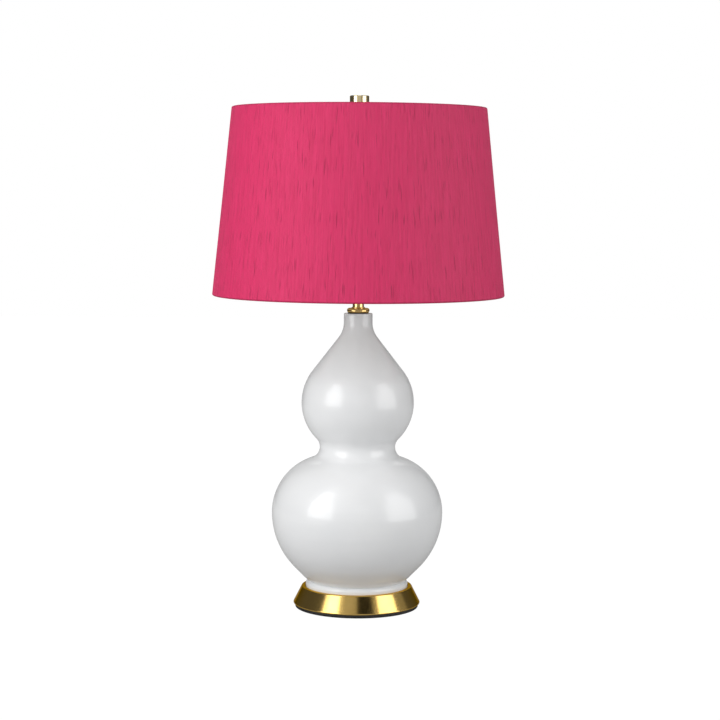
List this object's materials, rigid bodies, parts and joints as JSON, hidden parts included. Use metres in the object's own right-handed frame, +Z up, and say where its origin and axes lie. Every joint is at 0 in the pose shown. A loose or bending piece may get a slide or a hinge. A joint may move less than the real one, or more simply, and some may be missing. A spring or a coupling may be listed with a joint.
{
  "type": "table lamp",
  "caption": "Table lamp with a gourd-shaped glazed ceramic body on a brass plinth, a bulb holder with a turn knob, and a tapered drum shade held by a harp and finial.",
  "frame": {"origin": "centre of the felt pad's underside, on the lamp's axis, where it stands", "axes": "+Z up along the lamp's axis; -Y to the front, where the switch knob is; +Y to the back, where the cord's bushing is; the harp lies in the XZ plane"},
  "size_m": [0.4045, 0.4046, 0.711],
  "materials": {
    "felt": "felted wool, black",
    "cover_board": "matt black board",
    "brushed_brass": "brushed all round, lightly aged",
    "cord_bushing": "moulded, black",
    "zinc_plate": "zinc plated",
    "gasket": "soft, dark",
    "white_glaze": "high gloss white glaze",
    "polished_brass": "polished, lacquered",
    "pale_brass": "polished, pale",
    "fibre_liner": "pressed fibre",
    "phenolic": "moulded, black",
    "contact_brass": "plain",
    "bulb_metal": "rolled, bright",
    "bulb_insulator": "black glass",
    "bulb_glass": "opal white, satin",
    "pink_silk": "slubbed silk weave, hot pink",
    "white_liner": "satin white sheet",
    "ring_wire": "white enamel"
  },
  "bodies": {
    "lamp_base": {"felt_pad": "felt", "bottom_cover": "cover_board", "base_plinth": "brushed_brass", "cord_bushing": "cord_bushing", "clamp_washer": "zinc_plate", "lock_washer": "zinc_plate", "rod_nut": "zinc_plate", "threaded_rod": "zinc_plate", "foot_gasket": "gasket", "ceramic_body": "white_glaze", "neck_gasket": "gasket", "neck_cap": "polished_brass", "neck_tube": "polished_brass", "harp_saddle": "polished_brass", "socket_cap": "polished_brass", "cap_set_screw": "zinc_plate", "socket_shell": "polished_brass", "socket_liner": "fibre_liner", "socket_interior": "phenolic", "terminal_screws": "contact_brass", "screw_shell": "contact_brass", "centre_contact": "contact_brass"},
    "switch_knob": {"switch_shaft": "contact_brass", "turn_knob": "phenolic"},
    "bulb": {"bulb_tip": "bulb_metal", "bulb_insulator": "bulb_insulator", "bulb_screw_cap": "bulb_metal", "bulb_envelope": "bulb_glass"},
    "harp": {"harp_wire": "polished_brass", "harp_foot_left": "polished_brass", "harp_foot_right": "polished_brass", "harp_crown_block": "polished_brass"},
    "left_ferrule": {"ferrule_left": "polished_brass"},
    "right_ferrule": {"ferrule_right": "polished_brass"},
    "harp_swivel": {"harp_stud": "polished_brass", "shade_rest": "polished_brass"},
    "shade": {"shade_fabric": "pink_silk", "shade_liner": "white_liner", "top_ring": "ring_wire", "bottom_ring": "ring_wire", "top_hem": "pink_silk", "bottom_hem": "pink_silk", "shade_seam": "pink_silk", "spider_hub": "polished_brass", "spider_arms": "polished_brass"},
    "finial": {"finial": "pale_brass"}
  },
  "joints": [
    {"name": "switch_turn", "type": "hinge", "parent": "lamp_base", "child": "switch_knob", "pos_m": [0, -0.0277, 0.4743], "axis": [0, -1, 0], "continuous": true},
    {"name": "bulb_draw", "type": "slide", "parent": "lamp_base", "child": "bulb", "axis": [0, 0, 1], "range_m": [0, 0.03]},
    {"name": "harp_lift", "type": "slide", "parent": "lamp_base", "child": "harp", "axis": [0, 0, 1], "range_m": [0, 0.03]},
    {"name": "left_ferrule_slide", "type": "slide", "parent": "harp", "child": "left_ferrule", "axis": [0, 0, 1], "range_m": [0, 0.02]},
    {"name": "right_ferrule_slide", "type": "slide", "parent": "harp", "child": "right_ferrule", "axis": [0, 0, 1], "range_m": [0, 0.02]},
    {"name": "swivel_turn", "type": "hinge", "parent": "harp", "child": "harp_swivel", "pos_m": [0, 0, 0.6814], "axis": [0, 0, 1], "continuous": true},
    {"name": "shade_lift", "type": "slide", "parent": "harp_swivel", "child": "shade", "axis": [0, 0, 1], "range_m": [0, 0.27]},
    {"name": "finial_turn", "type": "hinge", "parent": "shade", "child": "finial", "pos_m": [0, 0, 0.6845], "axis": [0, 0, 1], "continuous": true}
  ]
}
